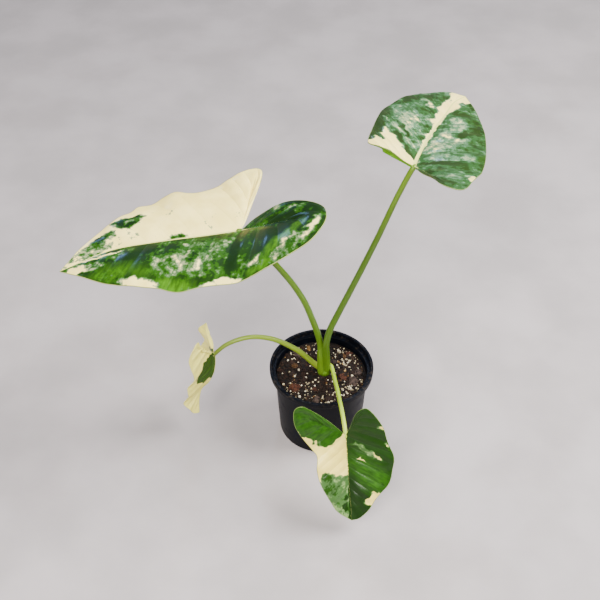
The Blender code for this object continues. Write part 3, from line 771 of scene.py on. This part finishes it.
def leaf_finish(name, leaf, wash, wash_colour, roughness, coat):
    """Living leaf: cells layered dark green, green, sage, pale and cream, under its skin."""
    material, tree, shader = new_material(
        name,
        IOR=1.42,
        Specular_IOR_Level=0.15,
        Coat_Weight=coat,
        Coat_Roughness=0.14,
        Subsurface_Weight=0.08,
        Subsurface_Radius=(0.7, 1.0, 0.3),
        Subsurface_Scale=2 * MM,
    )
    painted, lime, rib, edge = [
        add(tree, "Attribute", out="Fac", attribute_name=key) for key in ("tone", "lime", "rib", "edge")
    ]

    # Noise along the veins, and in patches of five sizes in mm, the last the skin's grain.
    flow = add(tree, "UVMap", uv_map="flow")
    stretched = add(tree, "Mapping", {"Vector": flow, "Scale": (46.0, 5.0, 1.0)})
    streaks = add(tree, "TexNoise", {"Vector": stretched, "Scale": 1.0, "Detail": 5.0})
    where = add(tree, "TexCoord", out="Object")
    blotches, clots, specks, shades, skin_grain = [
        add(tree, "TexNoise", {"Vector": where, "Scale": 1 / (size * MM), "Detail": detail})
        for size, detail in ((17, 5.0), (5.5, 3.0), (2.2, 3.0), (20, 2.0), (1.2, 2.0))
    ]
    spread = add(tree, "Math", {0: blotches, 1: 1.5, 2: -0.75}, operation="MULTIPLY_ADD")
    for pattern, strength in ((clots, 1.0), (streaks, 0.55), (specks, 0.5)):
        centred = add(tree, "Math", {0: pattern, 1: 0.5}, operation="SUBTRACT")
        spread = add(tree, "Math", {0: centred, 1: strength, 2: spread}, operation="MULTIPLY_ADD")
    tone = add(tree, "Math", {0: spread, 1: leaf["marbling"], 2: painted}, operation="MULTIPLY_ADD")

    # The layers of cells, shaded, with streaks of lime in the green.
    colour = linear(leaf["greens"][0])
    for level, cells in zip(CELL_LEVELS, leaf["greens"][1:]):
        ends = {"From Min": level - CELL_EDGE, "From Max": level + CELL_EDGE}
        share = add(tree, "MapRange", {"Value": tone, **ends}, **SMOOTH)
        colour = add(tree, "Mix", {0: share, 6: colour, 7: linear(cells)}, **BLEND)
    deep = add(tree, "HueSaturation", {"Value": 0.86, "Saturation": 1.06, "Color": colour})
    light = add(tree, "MapRange", {"Value": shades, "From Min": 0.3, "From Max": 0.75}, **SMOOTH)
    colour = add(tree, "Mix", {0: light, 6: deep, 7: colour}, **BLEND)
    streaky = add(tree, "MapRange", {"Value": streaks, "From Min": 0.1, "From Max": 0.75}, **SMOOTH)
    bright = add(tree, "Math", {0: lime, 1: streaky}, operation="MULTIPLY")
    green_here = add(tree, "MapRange", {"Value": tone, "From Min": 0.56, "From Max": 0.46}, **SMOOTH)
    bright = add(tree, "Math", {0: bright, 1: green_here}, operation="MULTIPLY")
    colour = add(tree, "Mix", {0: bright, 6: colour, 7: linear(leaf["lime"])}, **BLEND)

    # The lines of the veins, then the rib and the rim, and the wash over an underside. A
    # full wash is one even colour, so it is set on the shader itself.
    veins = add(tree, "SeparateXYZ", {0: flow}, "X")
    veins = add(tree, "Math", {0: veins, 1: VEINS_PER_ROW_SPAN}, operation="MULTIPLY")
    veins = add(tree, "Math", {0: veins, 1: 0.5}, operation="PINGPONG")
    vein_line = add(tree, "MapRange", {"Value": veins, "From Min": 0.055, "From Max": 0.01}, **SMOOTH)
    paler = add(tree, "HueSaturation", {"Value": 1.9, "Saturation": 0.85, "Color": colour})
    in_cream = add(tree, "MapRange", {"Value": tone, "From Min": 0.7, "From Max": 0.86}, **SMOOTH)
    vein_colour = add(tree, "Mix", {0: in_cream, 6: paler, 7: linear("#e2d477")}, **BLEND)
    vein_share = add(tree, "Math", {0: vein_line, 1: leaf["vein"]}, operation="MULTIPLY")
    colour = add(tree, "Mix", {0: vein_share, 6: colour, 7: vein_colour}, **BLEND)
    for line, outer, inner, shade in ((rib, 1.1, 0.8, "#d0d078"), (edge, 0.6, 0.25, leaf["rim"])):
        share = add(tree, "MapRange", {"Value": line, "From Min": outer, "From Max": inner}, **SMOOTH)
        colour = add(tree, "Mix", {0: share, 6: colour, 7: linear(shade)}, **BLEND)
    if wash < 1:
        colour = add(tree, "Mix", {0: wash, 6: colour, 7: linear(wash_colour)}, **BLEND)
        tree.links.new(colour, shader.inputs["Base Color"])
    else:
        shader.inputs["Base Color"].default_value = linear(wash_colour)

    ends = {"To Min": roughness - 0.06, "To Max": roughness + 0.1}
    rough = add(tree, "MapRange", {"Value": blotches, **ends})
    tree.links.new(rough, shader.inputs["Roughness"])
    relief = add(tree, "Math", {0: streaks, 1: 0.6}, operation="MULTIPLY")
    relief = add(tree, "Math", {0: vein_line, 1: -0.5, 2: relief}, operation="MULTIPLY_ADD")
    relief = add(tree, "Math", {0: skin_grain, 1: 0.25, 2: relief}, operation="MULTIPLY_ADD")
    bump = add(tree, "Bump", {"Height": relief, "Strength": 0.35, "Distance": 0.6 * MM})
    tree.links.new(bump, shader.inputs["Normal"])
    return material


def make_blade(kind, leaf, upper_skin, under_skin):
    """Two halves laid out from grids, welded at the midrib and thickened downwards."""
    bm = bmesh.new()
    flow = bm.loops.layers.uv.new("flow")
    layers = {key: bm.verts.layers.float.new(key) for key in ("tone", "lime", "rib", "edge")}
    thick = bm.verts.layers.deform.new()
    for side, outward in (("left", 1), ("right", -1)):
        rows = blade_rows(leaf, side)
        last = len(rows) - 1
        grid = bmesh.ops.create_grid(bm, x_segments=COLUMNS, y_segments=last, size=1)
        for vert in grid["verts"]:
            place, root, edge = rows[round((1 + vert.co.y) / 2 * last)]
            across = round((1 + outward * vert.co.x) / 2 * COLUMNS) / COLUMNS
            width = (edge - root).length
            point = root.lerp(edge, across)
            point.z += blade_height(leaf, place, across, width) + BLADE_THICKNESS / 2
            vert.co = point * MM
            in_lobe = place > 1
            rib_width = RIB_TIP_WIDTH + RIB_GAIN * min(1.0, place) * (LOBE_RIB_SHARE if in_lobe else 1.0)
            line_width = rib_width * leaf["rib_line"]
            if in_lobe:
                faded = 1 - RIB_LINE_FADE * min(place - 1, NOTCH_END - place)
                line_width *= max(RIB_LINE_LEAST, faded)
            tone, lime = mark_tone(leaf, point.x, point.y, side)
            vert[layers["tone"]] = tone
            vert[layers["lime"]] = lime
            vert[layers["rib"]] = across * width / line_width
            vert[layers["edge"]] = (1 - across) * width
            veins = place + SWEEP * across
            off_vein = veins * VEINS_PER_ROW_SPAN - round(veins * VEINS_PER_ROW_SPAN)
            ridge = VEIN_RIDGE * math.exp(-((off_vein / VEIN_RIDGE_WIDTH) ** 2)) * (1 - across)
            keel = math.exp(-((across * width / (KEEL_REACH * rib_width)) ** 2)) * min(1.0, 2 * place)
            depth = BLADE_THICKNESS + (RIB_THICKNESS - BLADE_THICKNESS) * max(keel, ridge)
            vert[thick][0] = depth / RIB_THICKNESS
            for loop in vert.link_loops:
                loop[flow].uv = (veins, across)
    bmesh.ops.remove_doubles(bm, verts=bm.verts, dist=BLADE_WELD)
    bmesh.ops.recalc_face_normals(bm, faces=bm.faces)
    if sum(face.normal.z * face.calc_area() for face in bm.faces) < 0:
        bmesh.ops.reverse_faces(bm, faces=bm.faces)
    bmesh.ops.transform(bm, matrix=leaf_frame(leaf), verts=bm.verts)
    blade = place_mesh(f"blade_{kind}", bm, upper_skin)
    blade.data.materials.append(under_skin)
    blade.vertex_groups.new(name="thickness")
    skin = blade.modifiers.new("Thickness", "SOLIDIFY")
    skin.thickness = RIB_THICKNESS * MM
    skin.offset = -1
    skin.vertex_group = "thickness"
    skin.material_offset = 1
    settle(blade)
    blade.data.shade_smooth()
    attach(blade, "root")
    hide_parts(f"leaf_{kind}")


# The face has a waxy skin with a soft gloss. The back has none, and is matt.
for kind, leaf in LEAVES.items():
    upper_skin = leaf_finish(f"waxy_leaf_face_{kind}", leaf, 0.0, "#ffffff", roughness=0.42, coat=0.22)
    under_skin = leaf_finish(f"matt_leaf_back_{kind}", leaf, *leaf["back"], roughness=0.5, coat=0.0)
    make_blade(kind, leaf, upper_skin, under_skin)


# The stalks. Each is one fleshy tapering stem, flared where it clasps the crown
# and channelled on its inner side, and it runs on into its blade's midrib.
STALK_ROWS = 150
STALK_SIDES = 36
INTO_BLADE = ((0, 0, -0.9), (4, 0, -1.7), (10, 0, -1.9))
# Places along a stalk are shares of its length, angles are in radians, the rest in mm.
SHEATH_HEIGHT = 0.16
SHEATH_FLARE = 0.12
CHANNEL_ANGLE = math.pi / 2
CHANNEL_WIDTH = 0.5
CHANNEL_DEPTH = 0.10
# One has a low membranous wing over its sheath, and two are slimmer at their feet,
# where they part. The end that runs along the blade's rib tapers.
WINGED = "upper"
WING_ANGLE = math.radians(212)
WING_WIDTH = 0.3
WING_PLACE = 0.13
WING_LENGTH = 0.05
WING_HEIGHT = 1.5
SLIM_FEET = ("large", "upper")
SLIM_SHARE = 0.74
SLIM_LENGTH = 5
SLIM_GROWTH = 6
TIP_LENGTH = 13
TIP_SHARE = 0.3
# The mix stains what stands in it, and painted shade darkens it there too: clean above the first height,
# full under the second.
STAIN_AND_SHADE_START = 94.5 * MM
STAIN_AND_SHADE_FULL = 89.5 * MM
STAIN_AND_SHADE_WANDER = 3 * MM
# The colours at its foot, along it and at its top.
STALK_COLOURS = {
    "large": ("#55740e", "#4a6a06", "#4c6a08"),
    "upper": ("#4c6c0c", "#3d5a08", "#587608"),
    "side": ("#7c9024", "#6c8216", "#5a6c1e"),
    "front": ("#86a02c", "#8aa810", "#b3c440"),
}


def stalk_finish(name, low, middle, high, shine=0.3, coat=0.08):
    """Living stalk: waxy, streaked along its length by its fibres, and darkened near the mix by its stain
    and by painted shade.
    """
    material, tree, shader = new_material(
        name,
        Roughness=0.42,
        Specular_IOR_Level=shine,
        Coat_Weight=coat,
        Coat_Roughness=0.2,
        Subsurface_Weight=0.12,
        Subsurface_Radius=(0.8, 1.0, 0.3),
        Subsurface_Scale=2 * MM,
    )
    grown = add(tree, "UVMap", uv_map="grown")
    stretched = add(tree, "Mapping", {"Vector": grown, "Scale": (30.0, 9.0, 1.0)})
    fibres = add(tree, "TexNoise", {"Vector": stretched, "Scale": 1.0, "Detail": 4.0})
    uneven = add(tree, "Math", {0: fibres, 1: 0.5}, operation="SUBTRACT")
    along = add(tree, "SeparateXYZ", {0: grown}, "Y")
    along = add(tree, "Math", {0: uneven, 1: 0.25, 2: along}, operation="MULTIPLY_ADD")
    above_foot = add(tree, "MapRange", {"Value": along, "From Min": 0.0, "From Max": 0.22}, **SMOOTH)
    colour = add(tree, "Mix", {0: above_foot, 6: linear(low), 7: linear(middle)}, **BLEND)
    near_top = add(tree, "MapRange", {"Value": along, "From Min": 0.6, "From Max": 1.0}, **SMOOTH)
    colour = add(tree, "Mix", {0: near_top, 6: colour, 7: linear(high)}, **BLEND)
    pale = add(tree, "HueSaturation", {"Value": 1.25, "Saturation": 0.85, "Color": colour})
    fibrous = add(tree, "MapRange", {"Value": fibres, "From Min": 0.5, "From Max": 0.75}, **SMOOTH)
    colour = add(tree, "Mix", {0: fibrous, 6: colour, 7: pale}, **BLEND)
    # A stain from the mix and painted shade: darkened over the last few mm above the mix.
    height = add(tree, "SeparateXYZ", {0: add(tree, "TexCoord", out="Object")}, "Z")
    height = add(tree, "Math", {0: fibres, 1: STAIN_AND_SHADE_WANDER, 2: height}, operation="MULTIPLY_ADD")
    ends = {"From Min": STAIN_AND_SHADE_START, "From Max": STAIN_AND_SHADE_FULL}
    stain_and_shade = add(tree, "MapRange", {"Value": height, **ends}, **SMOOTH)
    colour = add(tree, "Mix", {0: stain_and_shade, 6: colour, 7: linear("#1d2208")}, **BLEND)
    tree.links.new(colour, shader.inputs["Base Color"])
    bump = add(tree, "Bump", {"Height": fibres, "Strength": 0.25, "Distance": 0.5 * MM})
    tree.links.new(bump, shader.inputs["Normal"])
    return material


def stalk_radius(kind, length, share, angle):
    """The radius of a stalk in mm, at a share of its length and at an angle round it."""
    base_radius, top_radius = LEAVES[kind]["stalk_radius"]
    radius = base_radius + (top_radius - base_radius) * share
    radius *= 1 + SHEATH_FLARE * max(0.0, 1 - share / SHEATH_HEIGHT) ** 2
    off_channel = math.remainder(angle - CHANNEL_ANGLE, 2 * math.pi) / CHANNEL_WIDTH
    radius *= 1 - CHANNEL_DEPTH * (1 - share) * math.exp(-(off_channel**2))
    if kind in SLIM_FEET:
        grown = max(0.0, min(1.0, (share * length - SLIM_LENGTH) / SLIM_GROWTH))
        radius *= SLIM_SHARE + (1 - SLIM_SHARE) * grown
    if kind == WINGED:
        off_wing = math.remainder(angle - WING_ANGLE, 2 * math.pi) / WING_WIDTH
        radius += WING_HEIGHT * math.exp(-(off_wing**2) - ((share - WING_PLACE) / WING_LENGTH) ** 2)
    return radius * min(1.0, TIP_SHARE + (1 - TIP_SHARE) * (1 - share) * length / TIP_LENGTH)


def stalk_mesh(kind, leaf):
    """A closed stem along the stalk's points, then up into the blade and along its rib."""
    base = leaf_frame(leaf)
    into = [base @ (Vector(point) * MM) / MM for point in INTO_BLADE]
    route = smooth_path([*leaf["stalk"], *into])
    length = sum((second - first).length for first, second in zip(route, route[1:]))
    centres = [path_point(route, row / STALK_ROWS) for row in range(STALK_ROWS + 1)]
    side = Vector((1, 0, 0))
    frames = []
    for row, centre in enumerate(centres):
        ahead = (centres[min(row + 1, STALK_ROWS)] - centres[max(row - 1, 0)]).normalized()
        side = (side - ahead * side.dot(ahead)).normalized()
        frames.append((centre, side.copy(), ahead.cross(side)))
    bm = bmesh.new()
    grown = bm.loops.layers.uv.new("grown")
    grid = bmesh.ops.create_grid(bm, x_segments=STALK_SIDES, y_segments=STALK_ROWS, size=1)
    for vert in grid["verts"]:
        row = round((1 + vert.co.y) / 2 * STALK_ROWS)
        around = round((1 + vert.co.x) / 2 * STALK_SIDES) / STALK_SIDES
        centre, first, second = frames[row]
        angle = 2 * math.pi * around
        radius = stalk_radius(kind, length, row / STALK_ROWS, angle)
        vert.co = (centre + (first * math.cos(angle) + second * math.sin(angle)) * radius) * MM
        for loop in vert.link_loops:
            loop[grown].uv = (around, row / STALK_ROWS)
    bmesh.ops.remove_doubles(bm, verts=bm.verts, dist=WELD)
    bmesh.ops.holes_fill(bm, edges=bm.edges, sides=STALK_SIDES)
    bmesh.ops.recalc_face_normals(bm, faces=bm.faces)
    return bm


for kind, leaf in LEAVES.items():
    stalk_skin = stalk_finish(f"living_stalk_{kind}", *STALK_COLOURS[kind])
    stalk = place_mesh(f"stem_{kind}", stalk_mesh(kind, leaf), stalk_skin)
    stalk.data.shade_smooth()
    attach(stalk, "root")
    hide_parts(f"stalk_{kind}")


# The crown. A short solid stem of old stalk bases, wrapped round each other,
# from which all four stalks grow; it stands in the mix by its own roots.
CROWN_SECTION = [
    (0, 60), (4.5, 60), (7.3, 66), (7.6, 80), (7.6, 86), (7.4, 88.5), (6.9, 91), (5.8, 93.4), (4.2, 95),
    (2.2, 95.8), (0, 96),
]
CROWN_SIDES = 72
CROWN_EDGE = 2 * MM
CROWN_OVAL = 0.92
# Its top slopes up to the back: how steeply, and the heights in mm where that sets in.
CROWN_SLOPE = 0.15
SLOPE_START = 80
SLOPE_RISE = 10
# The wrapped bases show as a few broad folds that wind upwards, with fine ribs on them.
FOLD_COUNT = 3
FOLD_DEPTH = 0.045
FOLD_TWIST = 0.12
RIB_COUNT = 8
RIB_DEPTH = 0.02
# The crown's skin runs from its low to its high colour over this stretch, in mm.
SKIN_START = 78
SKIN_RISE = 24

# Old sheath bases, dried on the outside: darker than the stalks, and dull, with no wax left.
crown_skin = stalk_finish("living_crown_sheaths", "#26360e", "#486810", "#54760c", shine=0.03, coat=0.0)
bm = spun([Vector(point) for point in CROWN_SECTION], CROWN_SIDES)
long_edges = [edge for edge in bm.edges if edge.calc_length() > CROWN_EDGE]
bmesh.ops.subdivide_edges(bm, edges=long_edges, cuts=2, use_grid_fill=True)
grown = bm.loops.layers.uv.new("grown")
for vert in bm.verts:
    angle = math.atan2(vert.co.y, vert.co.x)
    height = vert.co.z / MM
    fold = 1 + FOLD_DEPTH * math.sin(FOLD_COUNT * angle + height * FOLD_TWIST)
    fold += RIB_DEPTH * math.sin(RIB_COUNT * angle)
    vert.co.x *= fold
    vert.co.y *= fold * CROWN_OVAL
    vert.co.z += CROWN_SLOPE * vert.co.y * max(0.0, min(1.0, (height - SLOPE_START) / SLOPE_RISE))
    for loop in vert.link_loops:
        loop[grown].uv = (angle / (2 * math.pi), (height - SKIN_START) / SKIN_RISE)
bmesh.ops.translate(bm, vec=CROWN_CENTRE, verts=bm.verts)
crown = place_mesh("sheathed_crown", bm, crown_skin)
crown.data.shade_smooth()
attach(crown, "root")
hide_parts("crown")
